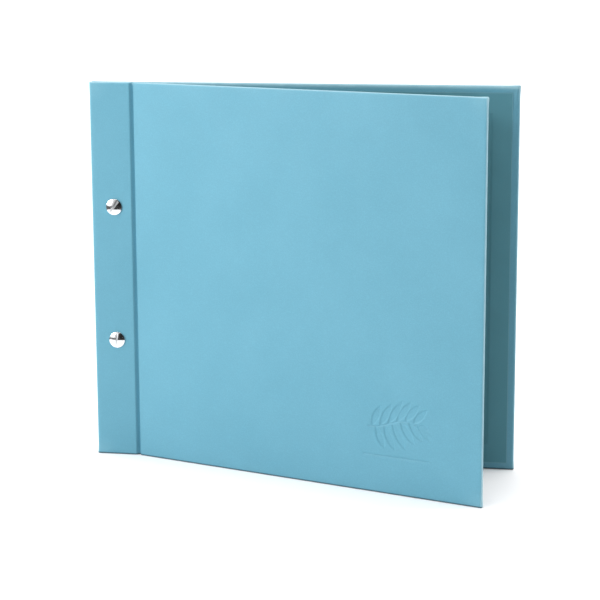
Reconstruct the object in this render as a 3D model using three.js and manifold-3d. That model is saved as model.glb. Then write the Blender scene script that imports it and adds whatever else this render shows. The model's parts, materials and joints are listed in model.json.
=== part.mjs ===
// Post-bound scrapbook album for 20 x 20 cm pages. It stands on its lower edges with the front cover ajar.
// Millimetres, +Z up. The binding is at -X, the front cover faces -Y.
// Front and rear cover are alike: a narrow binding strip and a wide panel, each a board wrapped in
// leatherette and lined inside, joined by a band of bare cloth that is the hinge. Two screws and
// two posts clamp both strips over the punched stubs of the leaves.
import * as THREE from 'three';
import { mergeVertices } from 'three/addons/utils/BufferGeometryUtils.js';
import Module from 'manifold-3d';

const wasm = await Module();
wasm.setup();

// Covers
const COVER_HEIGHT = 224;
const STRIP_WIDTH = 23.3;
const GROOVE_WIDTH = 3.4;
const PANEL_WIDTH = 223.3;
const SPINE_THICKNESS = 7;
const OPENING_DEG = 19;

// Layers of a cover, from its outer face inwards, with a thin glue gap between them
const WRAP = 0.35;
const BOARD = 1.7;
const LINING = 0.2;
const GLUE = 0.08;
const CORNER_RADIUS = 0.9;
const EDGE_RADIUS = 0.5;
const PANEL_TURN_IN = 15;
const STRIP_TURN_IN = 6;
const PANEL_LINING_INSET = 4;
const STRIP_LINING_INSET = 2.5;
const LINING_STEP_CLEARANCE = 0.3;

// Hinge cloth, at the bottom of the groove
const CLOTH = 0.5;
const CLOTH_DEPTH = 1.5;
const CLOTH_SIDE_GAP = 0.15;
const CLOTH_END_GAP = 0.5;

// Leaves
const LEAF_COUNT = 5;
const LEAF = 0.2;
const PAGE_SIZE = 200;
const STUB_FROM_SPINE = 3;
const SCORE_FROM_SPINE = 29.3;
const SCORE_STAGGER = 0.25;
const SCORE_GAP = 0.18;
const FAN_STEP = 0.13;

// Binding screws and posts
const HOLE_SPACING = 80;
const HOLE_FROM_SPINE = 13.5;
const HOLES_BELOW_MIDDLE = 1.2;
const HOLE_RADIUS = 2.8;
const HEAD_RADIUS = 4.8;
const HEAD_RIM = 0.5;
const SCREW_DOME = 1.2;
const POST_DOME = 0.7;
const HEAD_GAP = 0.05;
const SHANK_RADIUS = 1.8;
const SHANK_LENGTH = 4;
const BARREL_RADIUS = 2.5;
const BARREL_BORE_RADIUS = 1.95;
const BARREL_LENGTH = 6.6;
const BARREL_BORE_DEPTH = 5.4;
const SLOT_WIDTH = 1.3;
const SLOT_DEPTH = 0.9;
const SCREWS = [
  { place: 'upper', height: HOLE_SPACING / 2 - HOLES_BELOW_MIDDLE, slotDeg: 52 },
  { place: 'lower', height: -HOLE_SPACING / 2 - HOLES_BELOW_MIDDLE, slotDeg: 86 },
];

// Smoothness of round shapes
const CORNER_STEPS = 5;
const EDGE_STEPS = 4;
const HOLE_SIDES = 32;
const HEAD_SIDES = 40;
const DOME_STEPS = 6;
const WELD_DISTANCE = 1e-4;

const WRAPPED = 2 * WRAP + BOARD + 2 * GLUE;
const COVER_THICKNESS = WRAPPED + GLUE + LINING;
const HINGE_FROM_SPINE = STRIP_WIDTH + GROOVE_WIDTH / 2;
const STACK_ROOM = SPINE_THICKNESS - 2 * COVER_THICKNESS;
const LEAF_GAP = (STACK_ROOM - LEAF_COUNT * LEAF) / (LEAF_COUNT + 1);

const leatherette = new THREE.MeshStandardMaterial({ color: 0x6fb6c8, roughness: 0.62, metalness: 0 });
const hingeCloth = new THREE.MeshStandardMaterial({ color: 0x4f93a3, roughness: 0.8, metalness: 0 });
const liningPaper = new THREE.MeshStandardMaterial({ color: 0x5f9cab, roughness: 0.75, metalness: 0 });
const greyBoard = new THREE.MeshStandardMaterial({ color: 0x9c958a, roughness: 0.95, metalness: 0 });
const cardstock = new THREE.MeshStandardMaterial({ color: 0xf3efe4, roughness: 0.85, metalness: 0 });
const chrome = new THREE.MeshStandardMaterial({ color: 0xd5d9dc, roughness: 0.18, metalness: 1 });

// A closed geometry as a solid that can be joined and cut. Triangles that shrink to a line are left out.
function toSolid(geometry) {
  const bare = geometry.clone();
  bare.deleteAttribute('normal');
  bare.deleteAttribute('uv');
  const welded = mergeVertices(bare, WELD_DISTANCE);
  const corners = welded.index.array;
  const kept = [];
  for (let i = 0; i < corners.length; i += 3) {
    const [a, b, c] = corners.slice(i, i + 3);
    if (a !== b && b !== c && c !== a) kept.push(a, b, c);
  }
  const vertProperties = new Float32Array(welded.attributes.position.array);
  return new wasm.Manifold(new wasm.Mesh({ numProp: 3, vertProperties, triVerts: new Uint32Array(kept) }));
}

function toMesh(name, solid, material) {
  const cut = solid.getMesh();
  const geometry = new THREE.BufferGeometry();
  geometry.setAttribute('position', new THREE.BufferAttribute(new Float32Array(cut.vertProperties), 3));
  geometry.setIndex(new THREE.BufferAttribute(new Uint32Array(cut.triVerts), 1));
  const mesh = new THREE.Mesh(geometry, material);
  mesh.name = name;
  return mesh;
}

// A box given by its two ends along each axis.
function block([x0, x1], [y0, y1], [z0, z1]) {
  const geometry = new THREE.BoxGeometry(x1 - x0, y1 - y0, z1 - z0);
  geometry.translate((x0 + x1) / 2, (y0 + y1) / 2, (z0 + z1) / 2);
  return toSolid(geometry);
}

// A block that stands on the mid-height plane, the same distance above it and below.
function tallBlock(xEnds, yEnds, height) {
  return block(xEnds, yEnds, [-height / 2, height / 2]);
}

function roundedOutline(width, height, radius) {
  const shape = new THREE.Shape();
  const [right, top] = [width - radius, height / 2 - radius];
  shape.absarc(right, top, radius, 0, Math.PI / 2);
  shape.absarc(radius, top, radius, Math.PI / 2, Math.PI);
  shape.absarc(radius, -top, radius, Math.PI, 1.5 * Math.PI);
  shape.absarc(right, -top, radius, 1.5 * Math.PI, 2 * Math.PI);
  return shape;
}

// A slab from x = 0 and from y = 0, with rounded corners and edges, centred on the mid-height plane.
function roundedSlab(width, height, thickness) {
  const geometry = new THREE.ExtrudeGeometry(roundedOutline(width, height, CORNER_RADIUS), {
    depth: thickness - 2 * EDGE_RADIUS,
    bevelThickness: EDGE_RADIUS,
    bevelSize: EDGE_RADIUS,
    bevelOffset: -EDGE_RADIUS,
    bevelSegments: EDGE_STEPS,
    curveSegments: CORNER_STEPS,
  });
  geometry.rotateX(Math.PI / 2);
  geometry.translate(0, thickness - EDGE_RADIUS, 0);
  return toSolid(geometry);
}

// A round bar along Y.
function bar(radius, [y0, y1], sides = HOLE_SIDES) {
  const geometry = new THREE.CylinderGeometry(radius, radius, y1 - y0, sides);
  geometry.translate(0, (y0 + y1) / 2, 0);
  return toSolid(geometry);
}

// Cuts both binding holes, at a distance from the solid's own x = 0. For a solid made upside down, up is -1.
function punched(solid, x, up = 1) {
  let result = solid;
  for (const { height } of SCREWS) {
    const drill = bar(HOLE_RADIUS, [-SPINE_THICKNESS, 2 * SPINE_THICKNESS]).translate([x, 0, up * height]);
    result = result.subtract(drill);
  }
  return result;
}

// The leatherette around a board: closed outside and on all four edges, open inside between its turn-ins.
function wrapSolid(width, turnIn) {
  const pocketTop = WRAPPED - WRAP;
  const outside = roundedSlab(width, COVER_HEIGHT, WRAPPED);
  const pocket = tallBlock([WRAP, width - WRAP], [WRAP, pocketTop], COVER_HEIGHT - 2 * WRAP);
  const window = tallBlock([turnIn, width - turnIn], [BOARD / 2, 2 * WRAPPED], COVER_HEIGHT - 2 * turnIn);
  return outside.subtract(pocket).subtract(window);
}

function boardSolid(width) {
  const edge = WRAP + GLUE;
  return tallBlock([edge, width - edge], [edge, edge + BOARD], COVER_HEIGHT - 2 * edge);
}

// The inner sheet: it lies on the turn-ins along its border and steps down onto the board between them.
function liningSolid(width, inset, turnIn) {
  const [outer, inner] = [WRAPPED + GLUE, COVER_THICKNESS];
  const floor = WRAPPED - WRAP;
  const step = turnIn + LINING_STEP_CLEARANCE;
  const border = tallBlock([inset, width - inset], [outer, inner], COVER_HEIGHT - 2 * inset);
  const boss = tallBlock([step, width - step], [floor, inner], COVER_HEIGHT - 2 * step);
  const hollow = step + LINING;
  const recess = tallBlock([hollow, width - hollow], [floor + LINING, 2 * inner], COVER_HEIGHT - 2 * hollow);
  return border.add(boss).subtract(recess);
}

function stripMeshes(side) {
  const x = HOLE_FROM_SPINE;
  const up = side === 'rear' ? -1 : 1;
  const wrap = punched(wrapSolid(STRIP_WIDTH, STRIP_TURN_IN), x, up);
  const board = punched(boardSolid(STRIP_WIDTH), x, up);
  const lining = punched(liningSolid(STRIP_WIDTH, STRIP_LINING_INSET, STRIP_TURN_IN), x, up);
  const meshes = [
    toMesh(`${side}_strip_wrap`, wrap, leatherette),
    toMesh(`${side}_strip_board`, board, greyBoard),
    toMesh(`${side}_strip_lining`, lining, liningPaper),
  ];
  for (const mesh of meshes) mesh.position.x = -HINGE_FROM_SPINE;
  return meshes;
}

function panelMeshes(side) {
  const meshes = [
    toMesh(`${side}_panel_wrap`, wrapSolid(PANEL_WIDTH, PANEL_TURN_IN), leatherette),
    toMesh(`${side}_panel_board`, boardSolid(PANEL_WIDTH), greyBoard),
    toMesh(`${side}_panel_lining`, liningSolid(PANEL_WIDTH, PANEL_LINING_INSET, PANEL_TURN_IN), liningPaper),
  ];
  for (const mesh of meshes) mesh.position.x = GROOVE_WIDTH / 2;
  return meshes;
}

function hingeClothMesh(side) {
  const reach = GROOVE_WIDTH / 2 - CLOTH_SIDE_GAP;
  const depth = [CLOTH_DEPTH, CLOTH_DEPTH + CLOTH];
  const web = tallBlock([-reach, reach], depth, COVER_HEIGHT - 2 * CLOTH_END_GAP);
  return toMesh(`${side}_hinge_cloth`, web, hingeCloth);
}

// A whole cover around its hinge line: x = 0 and y = 0 is the line, on the outer face, and +y is inwards.
function coverGroup(side, openingDeg) {
  const cover = new THREE.Group();
  const panel = new THREE.Group();
  panel.add(...panelMeshes(side));
  panel.rotation.z = THREE.MathUtils.degToRad(-openingDeg);
  cover.add(...stripMeshes(side), hingeClothMesh(side), panel);
  return cover;
}

// One sheet: its punched stub, and its page, which turns about the score line between them.
function leafGroup(number) {
  const fromSpine = SCORE_FROM_SPINE - SCORE_STAGGER * (number - 1);
  const fromRear = COVER_THICKNESS + (LEAF_GAP + LEAF) * number - LEAF / 2;
  const leaf = new THREE.Group();
  leaf.position.set(fromSpine, SPINE_THICKNESS - fromRear, 0);
  const thickness = [-LEAF / 2, LEAF / 2];
  const stub = tallBlock([STUB_FROM_SPINE - fromSpine, -SCORE_GAP], thickness, PAGE_SIZE);
  const page = tallBlock([SCORE_GAP, PAGE_SIZE], thickness, PAGE_SIZE);
  const turning = new THREE.Group();
  turning.add(toMesh(`leaf_${number}_page`, page, cardstock));
  turning.rotation.z = THREE.MathUtils.degToRad(-OPENING_DEG * FAN_STEP * number);
  const holes = HOLE_FROM_SPINE - fromSpine;
  leaf.add(toMesh(`leaf_${number}_stub`, punched(stub, holes), cardstock), turning);
  return leaf;
}

// A domed head: a short cylinder that rises to a part of a sphere. It spreads from y = 0 towards -y.
function domedHead(radius, rim, dome) {
  const sphere = (radius * radius + dome * dome) / (2 * dome);
  const spread = Math.asin(radius / sphere);
  const profile = [new THREE.Vector2(0, -rim - dome)];
  for (let i = 1; i <= DOME_STEPS; i += 1) {
    const angle = (spread * i) / DOME_STEPS;
    profile.push(new THREE.Vector2(sphere * Math.sin(angle), sphere - dome - rim - sphere * Math.cos(angle)));
  }
  profile.push(new THREE.Vector2(radius, 0), new THREE.Vector2(0, 0));
  return toSolid(new THREE.LatheGeometry(profile, HEAD_SIDES));
}

// The male half: a slotted dome outside the front strip, and a shank that enters the post.
function screwMesh({ place, height, slotDeg }) {
  const head = domedHead(HEAD_RADIUS, HEAD_RIM, SCREW_DOME).translate([0, -HEAD_GAP, 0]);
  const shank = bar(SHANK_RADIUS, [-HEAD_RIM, SHANK_LENGTH]);
  const top = HEAD_GAP + HEAD_RIM + SCREW_DOME;
  const reach = 2 * HEAD_RADIUS;
  const slot = block([-reach, reach], [-2 * top, SLOT_DEPTH - top], [-SLOT_WIDTH / 2, SLOT_WIDTH / 2]);
  const screw = head.add(shank).subtract(slot.rotate([0, -slotDeg, 0]));
  const mesh = toMesh(`binding_screw_${place}`, screw, chrome);
  mesh.position.set(HOLE_FROM_SPINE, 0, height);
  return mesh;
}

// The female half: a plain low dome outside the rear strip, and a barrel with a blind bore.
function postMesh({ place, height }) {
  const head = domedHead(HEAD_RADIUS, HEAD_RIM, POST_DOME);
  const barrel = bar(BARREL_RADIUS, [-HEAD_RIM / 2, BARREL_LENGTH]);
  const bore = bar(BARREL_BORE_RADIUS, [BARREL_LENGTH - BARREL_BORE_DEPTH, 2 * BARREL_LENGTH]);
  const post = head.add(barrel).subtract(bore).rotate([180, 0, 0]);
  const mesh = toMesh(`binding_post_${place}`, post, chrome);
  mesh.position.set(HOLE_FROM_SPINE, SPINE_THICKNESS + HEAD_GAP, height);
  return mesh;
}

function bookBlock() {
  const leaves = new THREE.Group();
  for (let number = 1; number <= LEAF_COUNT; number += 1) {
    leaves.add(leafGroup(number));
  }
  return leaves;
}

// The whole album, measured from the spine's left edge and the front strip's outer face.
const frontCover = coverGroup('front', OPENING_DEG);
frontCover.position.x = HINGE_FROM_SPINE;

const rearCover = coverGroup('rear', 0);
rearCover.position.set(HINGE_FROM_SPINE, SPINE_THICKNESS, 0);
rearCover.rotation.x = Math.PI;

const assembly = new THREE.Group();
assembly.add(frontCover, rearCover, bookBlock(), ...SCREWS.map(screwMesh), ...SCREWS.map(postMesh));

// The origin is the middle of the box that holds the album, on the surface it stands on.
assembly.updateMatrixWorld(true);
const box = new THREE.Box3().setFromObject(assembly, true);
assembly.position.set(-(box.min.x + box.max.x) / 2, -(box.min.y + box.max.y) / 2, -box.min.z);

const album = new THREE.Group();
album.add(assembly);

export default album;
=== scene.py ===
import json
import math

import bmesh
import bpy
from mathutils import Matrix, Vector, noise


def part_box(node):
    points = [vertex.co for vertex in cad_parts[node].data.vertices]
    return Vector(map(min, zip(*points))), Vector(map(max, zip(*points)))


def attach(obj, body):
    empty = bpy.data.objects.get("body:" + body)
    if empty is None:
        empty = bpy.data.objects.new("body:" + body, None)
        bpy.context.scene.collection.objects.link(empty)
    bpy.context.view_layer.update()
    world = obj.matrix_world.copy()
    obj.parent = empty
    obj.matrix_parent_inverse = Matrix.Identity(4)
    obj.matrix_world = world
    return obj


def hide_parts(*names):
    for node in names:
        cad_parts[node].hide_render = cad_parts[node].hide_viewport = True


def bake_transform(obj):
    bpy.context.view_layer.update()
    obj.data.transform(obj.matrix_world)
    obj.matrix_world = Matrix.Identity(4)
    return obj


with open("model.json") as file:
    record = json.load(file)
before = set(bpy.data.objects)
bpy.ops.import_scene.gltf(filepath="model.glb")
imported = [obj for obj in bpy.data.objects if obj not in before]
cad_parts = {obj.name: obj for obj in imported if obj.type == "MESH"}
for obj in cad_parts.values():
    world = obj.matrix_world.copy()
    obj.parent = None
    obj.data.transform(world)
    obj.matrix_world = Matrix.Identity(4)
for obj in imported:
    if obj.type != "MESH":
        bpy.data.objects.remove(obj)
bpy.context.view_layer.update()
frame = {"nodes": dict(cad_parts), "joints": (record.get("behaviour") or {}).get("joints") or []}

MM = 0.001

# --------------------------------------------------------------------------- sizes from the frame

JOINTS = {j["name"]: j for j in frame["joints"]}
FRONT_HINGE = Vector(JOINTS["front_cover_hinge"]["pos_m"])
REAR_HINGE = Vector(JOINTS["rear_cover_hinge"]["pos_m"])
OPEN_ANGLE = math.radians(-JOINTS["front_cover_hinge"]["range_deg"][0])

STRIP_LOW, STRIP_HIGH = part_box("front_strip_wrap")
PANEL_LOW, PANEL_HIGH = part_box("rear_panel_wrap")
LINING_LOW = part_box("rear_panel_lining")[0]
STRIP_LINING_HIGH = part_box("front_strip_lining")[1]

U_LEFT = STRIP_LOW.x - FRONT_HINGE.x
U_STRIP = STRIP_HIGH.x - FRONT_HINGE.x
U_PANEL = PANEL_LOW.x - REAR_HINGE.x
U_RIGHT = PANEL_HIGH.x - REAR_HINGE.x
TOP = STRIP_HIGH.z
WRAPPED = STRIP_HIGH.y - STRIP_LOW.y
INNER_FACE = STRIP_LINING_HIGH.y - STRIP_LOW.y

# --------------------------------------------------------------------------- details of the covers
# A shoulder is (depth, reach). Slopes, wear, painted light and shade and calm zones are the two ends of a
# ramp.

EDGE_DEPTH = 0.55 * MM
EDGE_REACH = 1.0 * MM
CORNER_RADIUS = 0.9 * MM
OUTER_SHOULDER = (0.2 * MM, 3 * MM)
INNER_SHOULDER = (0.38 * MM, 3 * MM)
LEATHERETTE = 0.33 * MM
PANEL_TURN_IN = 15 * MM
STRIP_TURN_IN = 6 * MM
LINING = 0.18 * MM
TURN_IN_RIDGE = 0.43 * MM
RIDGE_REACH = 1.3 * MM
GROOVE_DEPTH = 1.95 * MM
HINGE_LAYERS = 0.55 * MM
BEND_REACH = 1.5 * MM
SLOPE_LEFT = (-1.7 * MM, 1.15 * MM)
LEFT_SOFTNESS = 1.4
SLOPE_RIGHT = (1.15 * MM, 1.8 * MM)
INNER_SLOPE = (0.9 * MM, 2.4 * MM)
MITRE_DEPTH = 0.16 * MM
MITRE_REACH = 0.2 * MM
WAVE = 0.05 * MM
WAVES_PER_METRE = 16
CALM_EDGE = (EDGE_REACH, 12 * MM)
CALM_GROOVE = (4 * MM, 14 * MM)
WAVE_SEEDS = {"front": 3.1, "rear": 7.7}
CORNER_SWELL = 0.3 * MM
CORNER_RISE = 0.8
SWELL_REACH = 9 * MM
HOLE_RADIUS = 2.8 * MM
CREASE = math.radians(50)
# the band at the foot of the covers that is painted dark: a painted contact shadow where the album stands
FOOT_SHADE = (0.55 * MM, 1.15 * MM)
RIM_WEAR = (0.05 * MM, 0.7 * MM)
# a band inside the top edge of the inner faces painted paler: painted light from above, mixed in with the
# wear
INNER_TOP_PAINTED_LIGHT = (0.3 * MM, 2.6 * MM)
CORNER_WEAR = (2 * MM, 14 * MM)
CORNER_WEAR_STRENGTH = 0.5
CORNER_FACE_WEAR = 0.25

# how far apart the grid lines of the leatherette are
EDGE_TURN_STEP_DEG = 15
SHOULDER_LINES = [1.3 * MM, 1.7 * MM, 2.1 * MM, 2.5 * MM, 3 * MM, 4.4 * MM]
TURN_IN_STEP = 2.2 * MM
STRIP_STEP = 2.5 * MM
NEAR_GROOVE_STEP = 1.5 * MM
GROOVE_STEP = 0.15 * MM
GROOVE_BAND = (-3 * MM, 3 * MM)
PANEL_STEP = 2.4 * MM

ORNAMENT_CENTRE = (0.765, 0.176)
ORNAMENT_SIZE = 41 * MM
ORNAMENT_DEPTH = 0.34 * MM
ORNAMENT_HALF_WIDTH = 0.5
ORNAMENT_HALF_HEIGHT = 0.5
ORNAMENT_MARGIN = 0.02
ORNAMENT_EDGE = (-0.006, 0.010)
ORNAMENT_CUTS = 6


def smooth(t):
    t = min(max(t, 0.0), 1.0)
    return t * t * (3 - 2 * t)


def ramp(x, ends):
    """0 before the first end, 1 after the second, smooth between."""
    return smooth((x - ends[0]) / (ends[1] - ends[0]))


def place(side):
    """A function that sets (u, v, z) of a closed cover in the row frame, opened as the album stands."""
    hinge, inwards, angle = (FRONT_HINGE, 1, OPEN_ANGLE) if side == "front" else (REAR_HINGE, -1, 0.0)

    def placed(point):
        u, v, z = point
        a = angle * ramp(u, (-BEND_REACH, BEND_REACH))
        x = u * math.cos(a) + v * math.sin(a)
        y = v * math.cos(a) - u * math.sin(a)
        return Vector((hinge.x + x, hinge.y + inwards * y, z))

    return placed


# --------------------------------------------------------------------------- mesh helpers

def steps(start, end, size):
    """Evenly spaced values from start up to, but without, end, about size apart."""
    count = max(1, round((end - start) / size))
    return [start + (end - start) * i / count for i in range(count)]


def edge_offsets(turn_in):
    """Distances from a cover's edge: close together over its rounded edge, then wider apart."""
    turns = [EDGE_REACH * (1 - math.cos(math.radians(a))) for a in range(0, 91, EDGE_TURN_STEP_DEG)]
    rest = steps(STRIP_TURN_IN, turn_in, TURN_IN_STEP) if turn_in > STRIP_TURN_IN else []
    return turns + SHOULDER_LINES + rest + [turn_in]


def make_object(name, vertices, faces, outwards=True):
    """An object from plain lists. A closed mesh has its faces turned outwards; an open sheet keeps them."""
    mesh = bpy.data.meshes.new(name)
    mesh.from_pydata([tuple(v) for v in vertices], [], faces)
    mesh.update()
    obj = bpy.data.objects.new(name, mesh)
    bpy.context.scene.collection.objects.link(obj)
    if outwards:
        turn_out(obj)
    return obj


def turn_out(obj):
    work = bmesh.new()
    work.from_mesh(obj.data)
    bmesh.ops.recalc_face_normals(work, faces=work.faces)
    work.to_mesh(obj.data)
    work.free()


def shade(obj, crease=CREASE):
    """Smooth shading, and sharp edges where the surface turns by more than crease."""
    obj.data.shade_smooth()
    obj.data.set_sharp_from_angle(angle=crease)


def give_values(obj, name, value_at):
    """A number at each vertex, which materials read by its name."""
    attribute = obj.data.attributes.new(name, "FLOAT", "POINT")
    attribute.data.foreach_set("value", [value_at(v.co) for v in obj.data.vertices])


def move_vertices(obj, moved):
    for vertex in obj.data.vertices:
        vertex.co = moved(vertex.co)
    obj.data.update()


def apply_modifiers(obj):
    graph = bpy.context.evaluated_depsgraph_get()
    mesh = bpy.data.meshes.new_from_object(obj.evaluated_get(graph))
    old = obj.data
    obj.modifiers.clear()
    obj.data = mesh
    mesh.name = old.name
    bpy.data.meshes.remove(old)


def thicken(obj, thickness):
    """Gives a sheet its thickness, on the side that its faces turn their backs to."""
    modifier = obj.modifiers.new("thicken", "SOLIDIFY")
    modifier.thickness = thickness
    modifier.offset = -1
    modifier.use_even_offset = False
    apply_modifiers(obj)


def cut(obj, cutters):
    """Takes the cutters' volumes out of obj and deletes the cutters."""
    for cutter in cutters:
        modifier = obj.modifiers.new("cut", "BOOLEAN")
        modifier.operation = "DIFFERENCE"
        modifier.solver = "EXACT"
        modifier.object = cutter
    apply_modifiers(obj)
    for cutter in cutters:
        bpy.data.objects.remove(cutter)


def drill(x, z, low_y, high_y, sides=48):
    """A round cutter along Y, as wide as the punched holes."""
    ring = [math.tau * i / sides for i in range(sides)]
    vertices = [
        (x + HOLE_RADIUS * math.cos(a), y, z + HOLE_RADIUS * math.sin(a))
        for y in (low_y, high_y)
        for a in ring
    ]
    faces = [(i, (i + 1) % sides, sides + (i + 1) % sides, sides + i) for i in range(sides)]
    faces += [tuple(range(sides)), tuple(range(sides, 2 * sides))]
    return make_object("cutter", vertices, faces)


def binding_drills(low_y, high_y, from_x=0.0):
    """Cutters for the two binding holes, at x counted from from_x."""
    boxes = [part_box(f"binding_screw_{which}") for which in ("upper", "lower")]
    return [
        drill((low.x + high.x) / 2 - from_x, (low.z + high.z) / 2, low_y, high_y)
        for low, high in boxes
    ]


def rim_indices(columns, rows):
    """The outline of a grid, once round, as (column, row)."""
    ring = [(i, 0) for i in range(columns - 1)]
    ring += [(columns - 1, j) for j in range(rows - 1)]
    ring += [(i, rows - 1) for i in range(columns - 1, 0, -1)]
    ring += [(0, j) for j in range(rows - 1, 0, -1)]
    return ring


# --------------------------------------------------------------------------- the leatherette of a cover

def groove(u):
    """How far the outer face dips at u, between the strip's soft shoulder and the panel's firmer one."""
    return GROOVE_DEPTH * ramp(u, SLOPE_LEFT) ** LEFT_SOFTNESS * (1 - ramp(u, SLOPE_RIGHT))


def inner_surface(u):
    """v of the turned-in leatherette: it dips a little behind the groove too."""
    dip = 1 - ramp(abs(u), INNER_SLOPE)
    return WRAPPED - dip * (WRAPPED - GROOVE_DEPTH - HINGE_LAYERS)


def cover_lines():
    """The sheet's grid lines along u and along z."""
    left = [U_LEFT + d for d in edge_offsets(STRIP_TURN_IN)]
    right = [U_RIGHT - d for d in reversed(edge_offsets(PANEL_TURN_IN))]
    hinge_left, hinge_right = U_STRIP - STRIP_TURN_IN, U_PANEL + PANEL_TURN_IN
    us = left + steps(left[-1], hinge_left, STRIP_STEP)[1:]
    us += steps(hinge_left, GROOVE_BAND[0], NEAR_GROOVE_STEP)
    us += steps(*GROOVE_BAND, GROOVE_STEP) + steps(GROOVE_BAND[1], hinge_right, TURN_IN_STEP)
    us += steps(hinge_right, right[0], PANEL_STEP)
    low = edge_offsets(PANEL_TURN_IN)
    high = [TOP - d for d in reversed(low)]
    zs = low + steps(low[-1], high[0], PANEL_STEP)[1:]
    return us + right, zs + high


def outline_distances(u, z):
    return min(u - U_LEFT, U_RIGHT - u), min(z, TOP - z)


def rounded(u, z):
    """The outline's square corners made round, and a little full where the folded corners are thick."""
    from_side, from_end = outline_distances(u, z)
    outwards_u = -1 if u - U_LEFT < U_RIGHT - u else 1
    outwards_z = -1 if z < TOP - z else 1
    if from_side < CORNER_RADIUS and from_end < CORNER_RADIUS:
        a, b = CORNER_RADIUS - from_side, CORNER_RADIUS - from_end
        shrink = 1 - max(a, b) / math.hypot(a, b)
        u -= outwards_u * a * shrink
        z -= outwards_z * b * shrink
    swell = CORNER_SWELL * (1 - ramp(math.hypot(from_side, from_end), (0.0, SWELL_REACH))) ** 2
    if outwards_z > 0:
        z += swell * CORNER_RISE
    return u + outwards_u * swell, z


def round_over(distance, shoulder):
    """How far the surface has turned down at a distance inside the outline."""
    depth, reach = shoulder
    shoulder_dip = depth * max(1 - distance / reach, 0.0) ** 2
    inwards = max(1 - distance / EDGE_REACH, 0.0)
    return shoulder_dip + EDGE_DEPTH * (1 - math.sqrt(max(1 - inwards**2, 0.0)))


def mitre(u, z):
    """The crease where two turn-ins meet, along the diagonals of the sheet's corners."""
    from_side, from_end = outline_distances(u, z)
    if min(from_side, from_end) < CORNER_RADIUS or abs(from_side - from_end) > MITRE_REACH:
        return 0.0
    return MITRE_DEPTH


def wave(side, u, z):
    """The slow unevenness of leatherette glued on board, none at the edges and the groove."""
    calm = ramp(min(outline_distances(u, z)), CALM_EDGE) * ramp(abs(u), CALM_GROOVE)
    return WAVE * calm * noise.noise(Vector((u * WAVES_PER_METRE, z * WAVES_PER_METRE, WAVE_SEEDS[side])))


def sheet_point(side, face, u, z):
    """(u, v, z) of the leatherette's outer or inner face at a grid point, on a closed cover."""
    distance = min(outline_distances(u, z))
    outer, inner = groove(u), inner_surface(u)
    fullness = (inner - outer) / WRAPPED
    round_u, round_z = rounded(u, z)
    if face == "outer":
        return round_u, outer + fullness * round_over(distance, OUTER_SHOULDER) + wave(side, u, z), round_z
    return round_u, inner - fullness * round_over(distance, INNER_SHOULDER) - mitre(u, z), round_z


def in_window(u, z):
    """Whether the inner side at (u, z) has no leatherette, only lining on board."""
    if U_LEFT + STRIP_TURN_IN < u < U_STRIP - STRIP_TURN_IN:
        return STRIP_TURN_IN < z < TOP - STRIP_TURN_IN
    return U_PANEL + PANEL_TURN_IN < u < U_RIGHT - PANEL_TURN_IN and PANEL_TURN_IN < z < TOP - PANEL_TURN_IN


def wear_and_painted_light_at(point):
    """How much the leatherette is paled: worn by handling on the rim and at the corners, and painted light in
    a band inside the top edge of the inner face.
    """
    from_side, from_end = outline_distances(point.x, point.z)
    rim = 1 - ramp(min(from_side, from_end), RIM_WEAR)
    # painted light: the inner face paler just below its top edge, where light comes in from above
    if point.y > WRAPPED / 2:
        rim = max(rim, 1 - ramp(TOP - point.z, INNER_TOP_PAINTED_LIGHT))
    corner = 1 - ramp(math.hypot(from_side, from_end), CORNER_WEAR)
    return min(1.0, rim + CORNER_WEAR_STRENGTH * corner * (CORNER_FACE_WEAR + rim))


def painted_foot_shade_at(point):
    """1 on the underside and at the foot of the faces, where the album is painted dark as a contact shadow.
    """
    return 1 - ramp(point.z, FOOT_SHADE)


def make_leatherette(side):
    """One sheet round both boards: outer face, rounded edges, turn-ins with mitred corners, inner hinge."""
    us, zs = cover_lines()
    columns, rows = len(us), len(zs)
    vertices, index = [], {}
    for face in ("outer", "inner"):
        for j, z in enumerate(zs):
            for i, u in enumerate(us):
                index[face, i, j] = len(vertices)
                vertices.append(sheet_point(side, face, u, z))

    def cell(face, i, j):
        return tuple(index[face, a, b] for a, b in ((i, j), (i + 1, j), (i + 1, j + 1), (i, j + 1)))

    faces = []
    for j in range(rows - 1):
        for i in range(columns - 1):
            faces.append(cell("outer", i, j))
            if not in_window((us[i] + us[i + 1]) / 2, (zs[j] + zs[j + 1]) / 2):
                faces.append(tuple(reversed(cell("inner", i, j))))
    ring = rim_indices(columns, rows)
    for (a, b), (c, d) in zip(ring, ring[1:] + ring[:1]):
        faces.append((index["outer", c, d], index["outer", a, b], index["inner", a, b], index["inner", c, d]))
    obj = make_object(f"{side}_cover_leatherette", vertices, faces)
    drop_loose_vertices(obj)
    if side == "front":
        press_ornament(obj)
    thicken(obj, LEATHERETTE)
    hinge = FRONT_HINGE if side == "front" else REAR_HINGE
    cut(obj, binding_drills(-WRAPPED, 2 * WRAPPED, hinge.x))
    give_values(obj, "paled_and_painted_light", wear_and_painted_light_at)
    give_values(obj, "foot", painted_foot_shade_at)
    move_vertices(obj, place(side))
    turn_out(obj)
    shade(obj)
    return obj


def drop_loose_vertices(obj):
    work = bmesh.new()
    work.from_mesh(obj.data)
    bmesh.ops.delete(work, geom=[v for v in work.verts if not v.link_faces], context="VERTS")
    work.to_mesh(obj.data)
    work.free()


# --------------------------------------------------------------------------- the blind-pressed ornament

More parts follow.
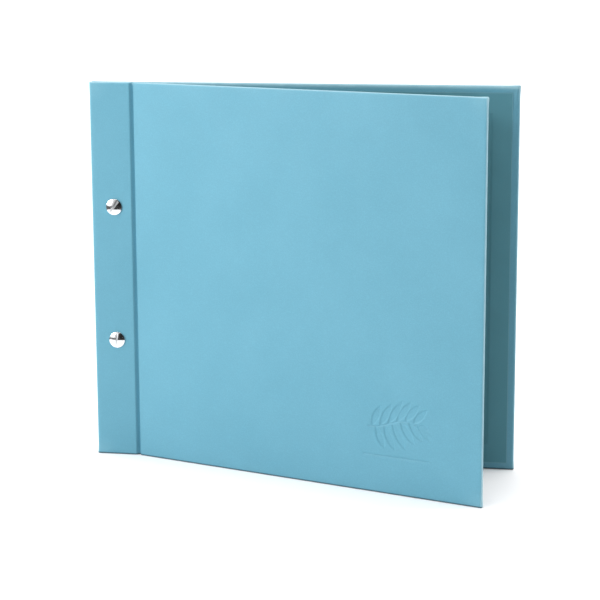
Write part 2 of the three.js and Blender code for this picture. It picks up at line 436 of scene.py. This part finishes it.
# lengths in units of the ornament's width
STEM_ENDS = (-0.42, 0.36)
STEM_LEVEL = 0.03
STEM_SWING = 0.06
STEM_PHASE = 0.1
STEM_HALF_WIDTH = 0.010
RULE_HEIGHT = -0.43
RULE_HALF_WIDTH = 0.011
PETAL_PAIRS = 6
FIRST_PETAL = -0.36
PETAL_SPACING = 0.125
PETAL_STAGGER = 0.06
PETAL_LENGTH = 0.4
PETAL_TAPER = 0.035
LONGEST_PETAL = 2
PETAL_WIDTH = 0.1
PETAL_FULLNESS = 0.8
PETAL_LEAN_DEG = 66
LEAN_STEP_DEG = 4
TIP_LEAN_DEG = -12
TIP_FOOT = 0.34
TIP_SIZE = (0.16, 0.09)


def petal(x, y, base_x, base_y, turn, length, width):
    """Distance inside a pointed leaf from its foot at (base_x, base_y), below 0 outside it."""
    along = (x - base_x) * math.cos(turn) + (y - base_y) * math.sin(turn)
    across = (y - base_y) * math.cos(turn) - (x - base_x) * math.sin(turn)
    t = along / length
    if not 0 < t < 1:
        return -1.0
    return width / 2 * math.sin(math.pi * t) ** PETAL_FULLNESS - abs(across)


def stem(x):
    """Height of the sprig's stem, a lazy S from left to right."""
    return STEM_LEVEL + STEM_SWING * math.sin(math.tau * (x + STEM_PHASE))


def ornament_inside(x, y):
    """Distance inside a leafy sprig that lies above a thin rule, in units of the ornament's width."""
    shapes = [-1.0]
    if STEM_ENDS[0] < x < STEM_ENDS[1]:
        shapes.append(STEM_HALF_WIDTH - abs(y - stem(x)))
    if abs(x) < ORNAMENT_HALF_WIDTH:
        shapes.append(RULE_HALF_WIDTH - abs(y - RULE_HEIGHT))
    for i in range(PETAL_PAIRS):
        foot = FIRST_PETAL + PETAL_SPACING * i
        length = PETAL_LENGTH - PETAL_TAPER * abs(i - LONGEST_PETAL)
        for way in (1, -1):
            lean = way * math.radians(PETAL_LEAN_DEG - LEAN_STEP_DEG * i)
            start = foot + PETAL_STAGGER * (1 - way) / 2
            shapes.append(petal(x, y, start, stem(foot), lean, length, PETAL_WIDTH))
    shapes.append(petal(x, y, TIP_FOOT, stem(TIP_FOOT), math.radians(TIP_LEAN_DEG), *TIP_SIZE))
    return max(shapes)


def ornament_place(u, z):
    """A point of the front panel in the ornament's own units, from its centre."""
    x = u - U_PANEL - ORNAMENT_CENTRE[0] * (U_RIGHT - U_PANEL)
    return x / ORNAMENT_SIZE, (z - ORNAMENT_CENTRE[1] * TOP) / ORNAMENT_SIZE


def press_ornament(obj):
    """Splits the outer face finely where the ornament is and presses it in."""
    work = bmesh.new()
    work.from_mesh(obj.data)

    def near(point):
        if point.y >= WRAPPED / 2:
            return False
        x, y = ornament_place(point.x, point.z)
        across = abs(x) < ORNAMENT_HALF_WIDTH + ORNAMENT_MARGIN
        return across and abs(y) < ORNAMENT_HALF_HEIGHT + ORNAMENT_MARGIN

    fine = [f for f in work.faces if all(near(v.co) for v in f.verts)]
    edges = list({e for f in fine for e in f.edges})
    bmesh.ops.subdivide_edges(work, edges=edges, cuts=ORNAMENT_CUTS, use_grid_fill=True)
    for vertex in work.verts:
        if near(vertex.co):
            inside = ornament_inside(*ornament_place(vertex.co.x, vertex.co.z))
            vertex.co.y += ORNAMENT_DEPTH * ramp(inside, ORNAMENT_EDGE)
    work.to_mesh(obj.data)
    work.free()


# --------------------------------------------------------------------------- the linings

RIDGE_ENDS = (-0.2 * MM, RIDGE_REACH)
RIDGE_BAND = (1 * MM, 2 * MM)
LINING_EDGE_LINES = [0.0, 0.25 * MM]
LINING_BORDER = (0.5 * MM, 2.5 * MM)
RIDGE_STEP = 0.25 * MM
LINING_STEP = 8 * MM
# how far in from the lining's cut edge it is painted pale: its paper core and a painted highlight along the
# edge
CUT_EDGE_AND_HIGHLIGHT_REACH = 0.5 * MM


def lining_point(u, z):
    """The lining's free face: it lies on the turn-ins and settles onto the board between them."""
    from_side = min(u - U_PANEL, U_RIGHT - u)
    from_ridge = min(from_side, TOP - z, z) - PANEL_TURN_IN
    return u, INNER_FACE - TURN_IN_RIDGE * ramp(from_ridge, RIDGE_ENDS), z


def lining_lines(low, high, inset):
    """Grid lines between two ends of a panel, close together where the lining steps off the turn-in."""
    ridge = PANEL_TURN_IN - inset
    ridge_low, ridge_high = ridge - RIDGE_BAND[0], ridge + RIDGE_BAND[1]
    near = LINING_EDGE_LINES + steps(LINING_BORDER[0], ridge_low, LINING_BORDER[1])
    near += steps(ridge_low, ridge_high, RIDGE_STEP) + [ridge_high]
    first, last = low + inset, high - inset
    middle = steps(first + near[-1], last - near[-1], LINING_STEP)[1:]
    return [first + d for d in near] + middle + [last - d for d in reversed(near)]


def make_lining(side):
    """The panel's inner sheet, cut a little smaller than the panel."""
    inset = LINING_LOW.x - PANEL_LOW.x
    us, zs = lining_lines(U_PANEL, U_RIGHT, inset), lining_lines(0.0, TOP, inset)
    columns = len(us)
    vertices = [lining_point(u, z) for z in zs for u in us]
    faces = []
    for j in range(len(zs) - 1):
        for i in range(columns - 1):
            a = j * columns + i
            faces.append((a + columns, a + columns + 1, a + 1, a))
    obj = make_object(f"{side}_panel_lining_sheet", vertices, faces, outwards=False)
    thicken(obj, LINING)

    # the lining's border painted pale: the paper's pale cut edge, widened onto the face as a painted
    # highlight
    def cut_edge_and_highlight(point):
        from_side = min(point.x - us[0], us[-1] - point.x)
        return 1 - ramp(min(from_side, point.z - zs[0], zs[-1] - point.z), (0.0, CUT_EDGE_AND_HIGHLIGHT_REACH))

    give_values(obj, "paled_and_painted_light", cut_edge_and_highlight)
    move_vertices(obj, place(side))
    turn_out(obj)
    shade(obj)
    return obj


# --------------------------------------------------------------------------- the leaves

LEAF_COUNT = 5
SCORE_REACH = 0.5 * MM
SCORE_BAND = (-1 * MM, 1 * MM)
SCORE_STEP = 0.125 * MM
SCORE_DENT = 0.03 * MM
BACK_DENT = 0.3
STUB_STEP = 4 * MM
PAGE_STEP = 8 * MM
LEAF_ROW_STEP = 20 * MM
DRILL_MARGIN = 3 * MM


def make_leaf(number):
    """One sheet of card from its punched stub, over the pressed score line, to its free edge."""
    joint = JOINTS[f"leaf_{number}_turn"]
    score = Vector(joint["pos_m"])
    angle = math.radians(-joint["range_deg"][0])
    stub_low, stub_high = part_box(f"leaf_{number}_stub")
    half = (stub_high.y - stub_low.y) / 2
    left = stub_low.x - score.x
    width = stub_high.z - stub_low.z
    us = steps(left, SCORE_BAND[0], STUB_STEP) + steps(*SCORE_BAND, SCORE_STEP)
    us += steps(SCORE_BAND[1], width, PAGE_STEP) + [width]
    zs = steps(stub_low.z, stub_high.z, LEAF_ROW_STEP) + [stub_high.z]

    def point(u, v, z):
        a = angle * ramp(u, (-SCORE_REACH, SCORE_REACH))
        x = u * math.cos(a) + v * math.sin(a)
        y = v * math.cos(a) - u * math.sin(a)
        return Vector((score.x + x, score.y + y, z))

    columns, rows = len(us), len(zs)
    vertices = []
    for v in (-half, half):
        for z in zs:
            for u in us:
                dent = SCORE_DENT * (1 - ramp(abs(u), (0, SCORE_REACH)))
                vertices.append(point(u, v + (dent if v < 0 else BACK_DENT * dent), z))
    size = columns * rows
    faces = []
    for j in range(rows - 1):
        for i in range(columns - 1):
            a = j * columns + i
            quad = (a, a + 1, a + columns + 1, a + columns)
            faces += [quad, tuple(size + k for k in reversed(quad))]
    ring = [j * columns + i for i, j in rim_indices(columns, rows)]
    for a, b in zip(ring, ring[1:] + ring[:1]):
        faces.append((b, a, size + a, size + b))
    obj = make_object(f"leaf_{number}", vertices, faces)
    cut(obj, binding_drills(stub_low.y - DRILL_MARGIN, stub_high.y + DRILL_MARGIN))
    shade(obj)
    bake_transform(obj)
    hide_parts(f"leaf_{number}_stub", f"leaf_{number}_page")
    return obj


# --------------------------------------------------------------------------- screws and posts

HEAD_RIM = 0.5 * MM
HEAD_GAP = 0.05 * MM
RIM_ROUND = 0.22 * MM
RIM_RELIEF = 0.06 * MM
DOME_STEPS = 16
RIM_STEPS = 5
SLOT_WIDTH = 1.3 * MM
SLOT_DEPTH = 0.9 * MM
SLOT_FLOOR = 0.05 * MM
SLOT_OVERRUN = 1.5
SLOT_CLEARANCE = 2 * MM
SHANK_RADIUS = 1.8 * MM
BARREL_RADIUS = 2.5 * MM
BORE_RADIUS = 1.95 * MM
BORE_DEPTH = 5.4 * MM
THREAD_PITCH = 0.7 * MM
THREAD_DEPTH = 0.12 * MM
THREAD_START = 0.4 * MM
THREAD_STOP = 0.6 * MM
TIP_CHAMFER = (0.4 * MM, 0.25 * MM)
POST_CHAMFER = 0.2 * MM
BEVEL_WIDTH = 0.07 * MM
BEVEL_ANGLE = math.radians(40)
METAL_CREASE = math.radians(42)
FACING_OUT = -0.98
SLOT_TURNS = {"upper": math.radians(52), "lower": math.radians(86)}
LATHE_SIDES = 96
LATHE_WELD = 0.001 * MM


def lathe(name, profile, centre, outwards):
    """Turns a profile of (radius, height) round a Y axis; heights count from centre, along outwards."""
    vertices, faces = [], []
    for radius, height in profile:
        for i in range(LATHE_SIDES):
            a = math.tau * i / LATHE_SIDES
            offset = Vector((radius * math.cos(a), outwards * height, radius * math.sin(a)))
            vertices.append(centre + offset)
    for k in range(len(profile) - 1):
        for i in range(LATHE_SIDES):
            n = (i + 1) % LATHE_SIDES
            a, b = k * LATHE_SIDES, (k + 1) * LATHE_SIDES
            faces.append((a + i, a + n, b + n, b + i))
    obj = make_object(name, vertices, faces)
    work = bmesh.new()
    work.from_mesh(obj.data)
    bmesh.ops.remove_doubles(work, verts=work.verts, dist=LATHE_WELD)
    bmesh.ops.recalc_face_normals(work, faces=work.faces)
    work.to_mesh(obj.data)
    work.free()
    return obj


def dome_profile(radius, rim, dome):
    """From the axis at the top of a domed head to the foot of its rounded rim."""
    sphere = (radius**2 + dome**2) / (2 * dome)
    spread = math.asin((radius - RIM_ROUND) / sphere)
    profile = []
    for i in range(DOME_STEPS + 1):
        a = spread * i / DOME_STEPS
        profile.append((sphere * math.sin(a), rim + dome - sphere + sphere * math.cos(a)))
    shoulder = profile[-1][1] - RIM_ROUND
    for i in range(1, RIM_STEPS + 1):
        a = math.radians(90 - 90 * i / RIM_STEPS)
        profile.append((radius - RIM_ROUND + RIM_ROUND * math.cos(a), shoulder + RIM_ROUND * math.sin(a)))
    profile += [(radius, RIM_RELIEF), (radius - RIM_RELIEF, 0.0)]
    return profile


def make_screw(which, metal, milled):
    """A slotted dome head on the front strip, with a threaded shank behind it."""
    low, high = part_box(f"binding_screw_{which}")
    centre = Vector(((low.x + high.x) / 2, STRIP_LOW.y - HEAD_GAP, (low.z + high.z) / 2))
    radius = (high.x - low.x) / 2
    dome = centre.y - low.y - HEAD_RIM
    profile = dome_profile(radius, HEAD_RIM, dome)
    length = high.y - centre.y
    profile.append((SHANK_RADIUS, 0.0))
    turns = int((length - THREAD_STOP) / THREAD_PITCH)
    for i in range(turns):
        start = -THREAD_START - i * THREAD_PITCH
        profile += [(SHANK_RADIUS - THREAD_DEPTH, start), (SHANK_RADIUS, start - 0.5 * THREAD_PITCH)]
    inwards, upwards = TIP_CHAMFER
    profile += [(SHANK_RADIUS - THREAD_DEPTH, upwards - length), (SHANK_RADIUS - inwards, -length)]
    profile.append((0.0, -length))
    obj = lathe(f"screw_{which}", profile, centre, -1)
    slot_box(obj, centre, low.y, radius, SLOT_TURNS[which])
    finish_metal(obj)
    dress(obj, metal)
    mill_slot_floor(obj, milled, centre, low.y + SLOT_DEPTH, radius)
    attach(obj, f"screw_{which}")
    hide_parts(f"binding_screw_{which}")


def mill_slot_floor(obj, milled, centre, floor_y, radius):
    """Gives the flat floor of the driver slot its duller material."""
    obj.data.materials.append(milled)
    for face in obj.data.polygons:
        on_floor = abs(face.center.y - floor_y) < SLOT_FLOOR and face.normal.y < FACING_OUT
        from_axis = math.hypot(face.center.x - centre.x, face.center.z - centre.z)
        if on_floor and from_axis < radius - RIM_ROUND:
            face.material_index = 1


def slot_box(obj, centre, top_y, radius, turn):
    """Cuts the driver slot across the dome, at an angle above the horizontal."""
    reach, half = SLOT_OVERRUN * radius, SLOT_WIDTH / 2
    along = Vector((math.cos(turn), 0, math.sin(turn)))
    across = Vector((-math.sin(turn), 0, math.cos(turn)))
    ends = (top_y - SLOT_CLEARANCE, top_y + SLOT_DEPTH)
    vertices = [
        Vector((centre.x, y, centre.z)) + a * reach * along + b * half * across
        for y in ends
        for a, b in ((-1, -1), (1, -1), (1, 1), (-1, 1))
    ]
    faces = [(0, 1, 2, 3), (4, 5, 6, 7), (0, 1, 5, 4), (1, 2, 6, 5), (2, 3, 7, 6), (3, 0, 4, 7)]
    cut(obj, [make_object("cutter", vertices, faces)])


def finish_metal(obj):
    """Breaks the sharp edges as plating does."""
    bevel = obj.modifiers.new("bevel", "BEVEL")
    bevel.width = BEVEL_WIDTH
    bevel.segments = 2
    bevel.limit_method = "ANGLE"
    bevel.angle_limit = BEVEL_ANGLE
    bevel.harden_normals = False
    apply_modifiers(obj)
    shade(obj, METAL_CREASE)


def make_post(which):
    """A plain low dome on the rear strip, with a bored barrel that takes the screw."""
    low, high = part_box(f"binding_post_{which}")
    rear_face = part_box("rear_strip_wrap")[1].y
    centre = Vector(((low.x + high.x) / 2, rear_face + HEAD_GAP, (low.z + high.z) / 2))
    radius = (high.x - low.x) / 2
    dome = high.y - centre.y - HEAD_RIM
    profile = dome_profile(radius, HEAD_RIM, dome)
    length = centre.y - low.y
    profile += [(BARREL_RADIUS, 0.0), (BARREL_RADIUS, POST_CHAMFER - length)]
    profile += [(BARREL_RADIUS - POST_CHAMFER, -length)]
    profile += [(BORE_RADIUS + POST_CHAMFER, -length), (BORE_RADIUS, POST_CHAMFER - length)]
    profile += [(BORE_RADIUS, BORE_DEPTH - length), (0.0, BORE_DEPTH - length)]
    obj = lathe(f"post_{which}", profile, centre, 1)
    finish_metal(obj)
    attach(obj, f"post_{which}")
    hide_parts(f"binding_post_{which}")
    return obj


# --------------------------------------------------------------------------- materials

TURQUOISE = [(0.104, 0.315, 0.415), (0.116, 0.335, 0.44)]
# the pale colour of worn rims and corners, also used for the painted light inside the top edge
WORN_AND_LIT_TURQUOISE = (0.36, 0.58, 0.65)
# painted contact shadow: the dark colour mixed in at the foot of the covers, and how strongly
FOOT_SHADE_COLOUR = (0.02, 0.05, 0.07)
FOOT_SHADE_STRENGTH = 0.85
TEAL = [(0.082, 0.242, 0.296), (0.09, 0.262, 0.32)]
# pale teal of the lining's cut edge, partly the paper core and partly a painted highlight
CUT_EDGE_AND_HIGHLIGHT_TEAL = (0.16, 0.36, 0.43)
GREY = [(0.30, 0.275, 0.245), (0.42, 0.39, 0.35)]
OFF_WHITE = [(0.83, 0.81, 0.765), (0.89, 0.875, 0.835)]
DULL_NICKEL = (0.72, 0.73, 0.74)
CLEAN_NICKEL = (0.88, 0.89, 0.9)

# the sockets of a Mix node that mixes colours
COLOUR_A, COLOUR_B, MIXED_COLOUR = 6, 7, 2


def new_material(name):
    material = bpy.data.materials.new(name)
    material.use_nodes = True
    nodes = material.node_tree.nodes
    return material, nodes, material.node_tree.links, nodes["Principled BSDF"]


def node(nodes, kind, settings=(), **inputs):
    """A shader node with its properties and its unlinked inputs set."""
    made = nodes.new(kind)
    for key, value in dict(settings).items():
        setattr(made, key, value)
    for key, value in inputs.items():
        made.inputs[key.replace("_", " ")].default_value = value
    return made


def colour_ramp(nodes, links, value, low, high):
    """A colour that goes with value from one (position, colour) to another."""
    made = nodes.new("ShaderNodeValToRGB")
    for element, (position, colour) in zip(made.color_ramp.elements, (low, high)):
        element.position, element.color = position, (*colour, 1)
    links.new(value, made.inputs["Fac"])
    return made.outputs["Color"]


def multiply_add(nodes, links, value, factor, addend):
    """value times a plain factor, plus addend."""
    made = node(nodes, "ShaderNodeMath", {"operation": "MULTIPLY_ADD"})
    made.inputs[1].default_value = factor
    links.new(value, made.inputs[0])
    links.new(addend, made.inputs[2])
    return made.outputs[0]


def product(nodes, links, first, second):
    made = node(nodes, "ShaderNodeMath", {"operation": "MULTIPLY"})
    links.new(first, made.inputs[0])
    links.new(second, made.inputs[1])
    return made.outputs[0]


def mapped(nodes, links, value, ends, levels, interpolation="LINEAR"):
    """value, with the range between ends mapped onto the one between levels."""
    made = node(nodes, "ShaderNodeMapRange", {"interpolation_type": interpolation})
    made.inputs["From Min"].default_value, made.inputs["From Max"].default_value = ends
    made.inputs["To Min"].default_value, made.inputs["To Max"].default_value = levels
    links.new(value, made.inputs["Value"])
    return made.outputs["Result"]


def mixed(nodes, links, factor, first, second):
    """A colour that goes from first to second, a plain colour, as factor goes from 0 to 1."""
    made = node(nodes, "ShaderNodeMix", {"data_type": "RGBA"})
    links.new(factor, made.inputs["Factor"])
    links.new(first, made.inputs[COLOUR_A])
    made.inputs[COLOUR_B].default_value = (*second, 1)
    return made.outputs[MIXED_COLOUR]


def vertex_value(nodes, name):
    """The number that give_values stored under a name."""
    return node(nodes, "ShaderNodeAttribute", {"attribute_name": name}).outputs["Fac"]


def add_bump(nodes, links, shader, height, strength, distance):
    bump = node(nodes, "ShaderNodeBump", Strength=strength, Distance=distance)
    links.new(height, bump.inputs["Height"])
    links.new(bump.outputs["Normal"], shader.inputs["Normal"])


def grained(name, roughness, grain, sheen):
    """Leatherette: pebbled grain, slow drifts of tone, paler where worn and with painted light inside the top
    edge, and painted shade at the foot.
    """
    material, nodes, links, shader = new_material(name)
    at = nodes.new("ShaderNodeTexCoord")
    cells = node(nodes, "ShaderNodeTexVoronoi", {"feature": "SMOOTH_F1"}, Scale=grain, Smoothness=0.35)
    fine = node(nodes, "ShaderNodeTexNoise", Scale=grain * 2.3, Detail=4.0, Roughness=0.6)
    drift = node(nodes, "ShaderNodeTexNoise", Scale=26.0, Detail=3.0, Roughness=0.55)
    patches = node(nodes, "ShaderNodeTexNoise", Scale=150.0, Detail=5.0, Roughness=0.65)
    for texture in (cells, fine, drift, patches):
        links.new(at.outputs["Object"], texture.inputs["Vector"])

    tone = multiply_add(nodes, links, patches.outputs["Fac"], 0.35, drift.outputs["Fac"])
    tones = colour_ramp(nodes, links, tone, (0.45, TURQUOISE[0]), (0.9, TURQUOISE[1]))
    grainy = node(nodes, "ShaderNodeVectorMath", {"operation": "SCALE"})
    links.new(tones, grainy.inputs[0])
    pits = mapped(nodes, links, cells.outputs["Distance"], (0.0, 0.9), (0.93, 1.03))
    links.new(pits, grainy.inputs["Scale"])

    # worn rims and corners, and painted light inside the top edge, mixed towards a pale turquoise
    uneven = mapped(nodes, links, patches.outputs["Fac"], (0.3, 0.7), (0.55, 0.85))
    rubbed_and_lit = product(nodes, links, vertex_value(nodes, "paled_and_painted_light"), uneven)
    paled = mixed(nodes, links, rubbed_and_lit, grainy.outputs["Vector"], WORN_AND_LIT_TURQUOISE)
    # painted contact shadow: the foot of the covers mixed towards a dark colour
    painted_foot_shade = mapped(nodes, links, vertex_value(nodes, "foot"), (0, 1), (0, FOOT_SHADE_STRENGTH))
    links.new(mixed(nodes, links, painted_foot_shade, paled, FOOT_SHADE_COLOUR), shader.inputs["Base Color"])

    gloss_ends = (roughness - 0.07, roughness + 0.07)
    gloss = mapped(nodes, links, patches.outputs["Fac"], (0.3, 0.75), gloss_ends)
    links.new(gloss, shader.inputs["Roughness"])
    height = multiply_add(nodes, links, fine.outputs["Fac"], 0.45, cells.outputs["Distance"])
    add_bump(nodes, links, shader, height, 0.55, 0.07 * MM)
    shader.inputs["Specular IOR Level"].default_value = 0.42
    shader.inputs["Sheen Weight"].default_value = sheen
    shader.inputs["Sheen Roughness"].default_value = 0.5
    return material


def paper(name, colours, roughness, fibre, strength, cut_edge_and_highlight=None):
    """Paper or board: long soft fibres in tone and bump, and a cut edge in a colour of its own, partly its
    paper core and partly a painted highlight.
    """
    material, nodes, links, shader = new_material(name)
    at = nodes.new("ShaderNodeTexCoord")
    stretch = node(nodes, "ShaderNodeMapping", Scale=(1, 1, 0.35))
    links.new(at.outputs["Object"], stretch.inputs["Vector"])
    fibres = node(nodes, "ShaderNodeTexNoise", Scale=fibre, Detail=6.0, Roughness=0.68, Distortion=0.6)
    clouds = node(nodes, "ShaderNodeTexNoise", Scale=45.0, Detail=3.0)
    links.new(stretch.outputs["Vector"], fibres.inputs["Vector"])
    links.new(at.outputs["Object"], clouds.inputs["Vector"])
    tone = multiply_add(nodes, links, fibres.outputs["Fac"], 0.5, clouds.outputs["Fac"])
    colour = colour_ramp(nodes, links, tone, (0.5, colours[0]), (1.0, colours[1]))
    # painted highlight, with the pale paper core, along the cut edge
    if cut_edge_and_highlight:
        colour = mixed(nodes, links, vertex_value(nodes, "paled_and_painted_light"), colour, cut_edge_and_highlight)
    links.new(colour, shader.inputs["Base Color"])
    gloss_ends = (roughness - 0.06, roughness + 0.06)
    gloss = mapped(nodes, links, fibres.outputs["Fac"], (0.3, 0.7), gloss_ends)
    links.new(gloss, shader.inputs["Roughness"])
    add_bump(nodes, links, shader, fibres.outputs["Fac"], strength, 0.04 * MM)
    shader.inputs["Specular IOR Level"].default_value = 0.3
    return material


def bright_metal(name, roughness):
    """Nickel plate, with hairlines, faint smears and a little unevenness in its shine."""
    material, nodes, links, shader = new_material(name)
    at = nodes.new("ShaderNodeTexCoord")
    stretch = node(nodes, "ShaderNodeMapping", Scale=(1, 1, 14), Rotation=(0, 0.5, 0))
    links.new(at.outputs["Object"], stretch.inputs["Vector"])
    hairs = node(nodes, "ShaderNodeTexNoise", Scale=900.0, Detail=3.0, Roughness=0.7)
    smears = node(nodes, "ShaderNodeTexNoise", Scale=420.0, Detail=4.0, Roughness=0.6)
    links.new(stretch.outputs["Vector"], hairs.inputs["Vector"])
    links.new(at.outputs["Object"], smears.inputs["Vector"])
    gloss = mapped(nodes, links, smears.outputs["Fac"], (0.35, 0.75), roughness)
    links.new(gloss, shader.inputs["Roughness"])
    tones = colour_ramp(nodes, links, smears.outputs["Fac"], (0.3, DULL_NICKEL), (0.75, CLEAN_NICKEL))
    links.new(tones, shader.inputs["Base Color"])
    add_bump(nodes, links, shader, hairs.outputs["Fac"], 0.12, 0.02 * MM)
    shader.inputs["Metallic"].default_value = 1.0
    return material


def dress(obj, material):
    obj.data.materials.clear()
    obj.data.materials.append(material)


# --------------------------------------------------------------------------- floor, light and camera

FLOOR_HALF = 30
FLOOR_WHITE = (0.93, 0.93, 0.94)
# near black that only glossy rays see beyond the table's reach: a painted dark surround for reflections
MIRRORED_FLOOR_DARK = (0.01, 0.01, 0.01)
TABLE_CENTRE = (-0.15, 0.04, 0)
TABLE_REACH = (0.31, 0.38)

TENT_BRIGHT = 1.1
TENT_DARK = 0.02
TENT_FOOT = (-0.05, 0.05)
TENT_OPENING = (0.70, -0.71, -0.08)
TENT_EDGE = (math.cos(math.radians(80)), math.cos(math.radians(46)))
TENT_DIM = 0.02


def make_floor():
    """A pale floor. To glossy rays only it turns near black beyond a reach: a painted dark room for the metal
    to mirror, as round a table in a darker room.
    """
    h = FLOOR_HALF
    corners = [(-h, -h, 0), (h, -h, 0), (h, h, 0), (-h, h, 0)]
    floor = make_object("floor", corners, [(0, 1, 2, 3)], outwards=False)
    material, nodes, links, shader = new_material("floor_white")
    at = nodes.new("ShaderNodeTexCoord")
    away = node(nodes, "ShaderNodeVectorMath", {"operation": "DISTANCE"})
    away.inputs[1].default_value = TABLE_CENTRE
    links.new(at.outputs["Object"], away.inputs[0])
    beyond = mapped(nodes, links, away.outputs["Value"], TABLE_REACH, (0, 1))
    path = nodes.new("ShaderNodeLightPath")
    # painted reflection: for glossy rays only, the floor turns dark away from the album
    mirrored = product(nodes, links, path.outputs["Is Glossy Ray"], beyond)
    mix = node(nodes, "ShaderNodeMix", {"data_type": "RGBA"})
    links.new(mirrored, mix.inputs["Factor"])
    mix.inputs[COLOUR_A].default_value = (*FLOOR_WHITE, 1)
    mix.inputs[COLOUR_B].default_value = (*MIRRORED_FLOOR_DARK, 1)
    links.new(mix.outputs[MIXED_COLOUR], shader.inputs["Base Color"])
    shader.inputs["Roughness"].default_value = 0.6
    shader.inputs["Specular IOR Level"].default_value = 0.2
    dress(floor, material)


def make_area(name, spot, target, size, power):
    light = bpy.data.lights.new(name, "AREA")
    light.shape = "RECTANGLE"
    light.size, light.size_y = size
    light.energy = power
    lamp = bpy.data.objects.new(name, light)
    bpy.context.scene.collection.objects.link(lamp)
    lamp.location = spot
    lamp.visible_camera = False
    lamp.rotation_euler = (Vector(target) - Vector(spot)).to_track_quat("-Z", "Y").to_euler()


def make_overhead(name, strength, softness):
    """Even light from straight above, for the floor and the upper edges."""
    light = bpy.data.lights.new(name, "SUN")
    light.energy = strength
    light.angle = softness
    bpy.context.scene.collection.objects.link(bpy.data.objects.new(name, light))


def make_world():
    """A white light tent above and round the left, dark below the table and towards the front right."""
    world = bpy.data.worlds.new("light_tent")
    bpy.context.scene.world = world
    world.use_nodes = True
    nodes, links = world.node_tree.nodes, world.node_tree.links
    background = nodes["Background"]
    background.inputs["Color"].default_value = (1, 1, 1, 1)
    at = nodes.new("ShaderNodeTexCoord")

    def lobe(direction, ends, levels):
        """The tent's level, which changes with the cosine of the angle to a direction."""
        facing = node(nodes, "ShaderNodeVectorMath", {"operation": "DOT_PRODUCT"})
        facing.inputs[1].default_value = Vector(direction).normalized()
        links.new(at.outputs["Generated"], facing.inputs[0])
        return mapped(nodes, links, facing.outputs["Value"], ends, levels, "SMOOTHSTEP")

    above = lobe((0, 0, 1), TENT_FOOT, (TENT_DARK, TENT_BRIGHT))
    opening = lobe(TENT_OPENING, TENT_EDGE, (1.0, TENT_DIM))
    links.new(product(nodes, links, above, opening), background.inputs["Strength"])


CAMERA_FROM_CORNER = Vector((0.3149, -1.0541, 0.3091))
CAMERA_YAW = math.radians(-10.24)
CAMERA_PITCH = math.radians(11.13)
CAMERA_ROLL = math.radians(-0.23)
LENS_MM = 112.14


def make_camera():
    """A long lens, a metre off, a little to the right of the album and above it."""
    data = bpy.data.cameras.new("camera")
    data.sensor_width = 36
    data.lens = LENS_MM
    data.clip_start, data.clip_end = 0.05, 100
    camera = bpy.data.objects.new("camera", data)
    bpy.context.scene.collection.objects.link(camera)
    forward = Vector((
        math.sin(CAMERA_YAW) * math.cos(CAMERA_PITCH),
        math.cos(CAMERA_YAW) * math.cos(CAMERA_PITCH),
        -math.sin(CAMERA_PITCH),
    ))
    level_right = Vector((math.cos(CAMERA_YAW), -math.sin(CAMERA_YAW), 0))
    level_down = forward.cross(level_right)
    right = math.cos(CAMERA_ROLL) * level_right - math.sin(CAMERA_ROLL) * level_down
    down = math.sin(CAMERA_ROLL) * level_right + math.cos(CAMERA_ROLL) * level_down
    turn = Matrix((right, -down, -forward)).transposed()
    corner = Vector((STRIP_LOW.x, STRIP_LOW.y, 0))
    camera.matrix_world = Matrix.Translation(corner + CAMERA_FROM_CORNER) @ turn.to_4x4()
    bpy.context.scene.camera = camera


# --------------------------------------------------------------------------- the album

def make_covers(leatherette, lining):
    for side, hinge, body in (("front", FRONT_HINGE, "front_cover"), ("rear", REAR_HINGE, "rear_cover")):
        skin = make_leatherette(side)
        dress(skin, leatherette)
        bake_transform(skin)
        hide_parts(f"{side}_strip_wrap", f"{side}_hinge_cloth", f"{side}_panel_wrap")
        sheet = make_lining(side)
        dress(sheet, lining)
        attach(sheet, body)
        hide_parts(f"{side}_panel_lining")


def main():
    make_camera()
    make_world()
    make_floor()
    make_area("key", spot=(-0.55, -0.4, 0.38), target=(-0.08, 0, 0.11), size=(0.3, 0.4), power=3)
    make_overhead("overhead", strength=1.7, softness=math.radians(35))
    make_area("rim", spot=(1.3, 0.25, 0.5), target=(0.11, 0, 0.12), size=(0.2, 0.8), power=6)

    turquoise = grained("turquoise_leatherette", roughness=0.55, grain=1500.0, sheen=0.05)
    lining = paper("teal_lining", TEAL, roughness=0.7, fibre=900.0, strength=0.35, cut_edge_and_highlight=CUT_EDGE_AND_HIGHLIGHT_TEAL)
    board = paper("grey_board", GREY, roughness=0.92, fibre=500.0, strength=0.8)
    card = paper("off_white_card", OFF_WHITE, roughness=0.8, fibre=700.0, strength=0.3)
    metal = bright_metal("bright_nickel", roughness=(0.08, 0.22))
    milled = bright_metal("milled_nickel", roughness=(0.42, 0.58))

    make_covers(turquoise, lining)
    for number in range(1, LEAF_COUNT + 1):
        dress(make_leaf(number), card)
    for which in ("upper", "lower"):
        make_screw(which, metal, milled)
        dress(make_post(which), metal)
    for side in ("front", "rear"):
        dress(frame["nodes"][f"{side}_strip_board"], board)
        dress(frame["nodes"][f"{side}_panel_board"], board)
        dress(frame["nodes"][f"{side}_strip_lining"], lining)
    bpy.context.scene.view_settings.view_transform = "Standard"


main()
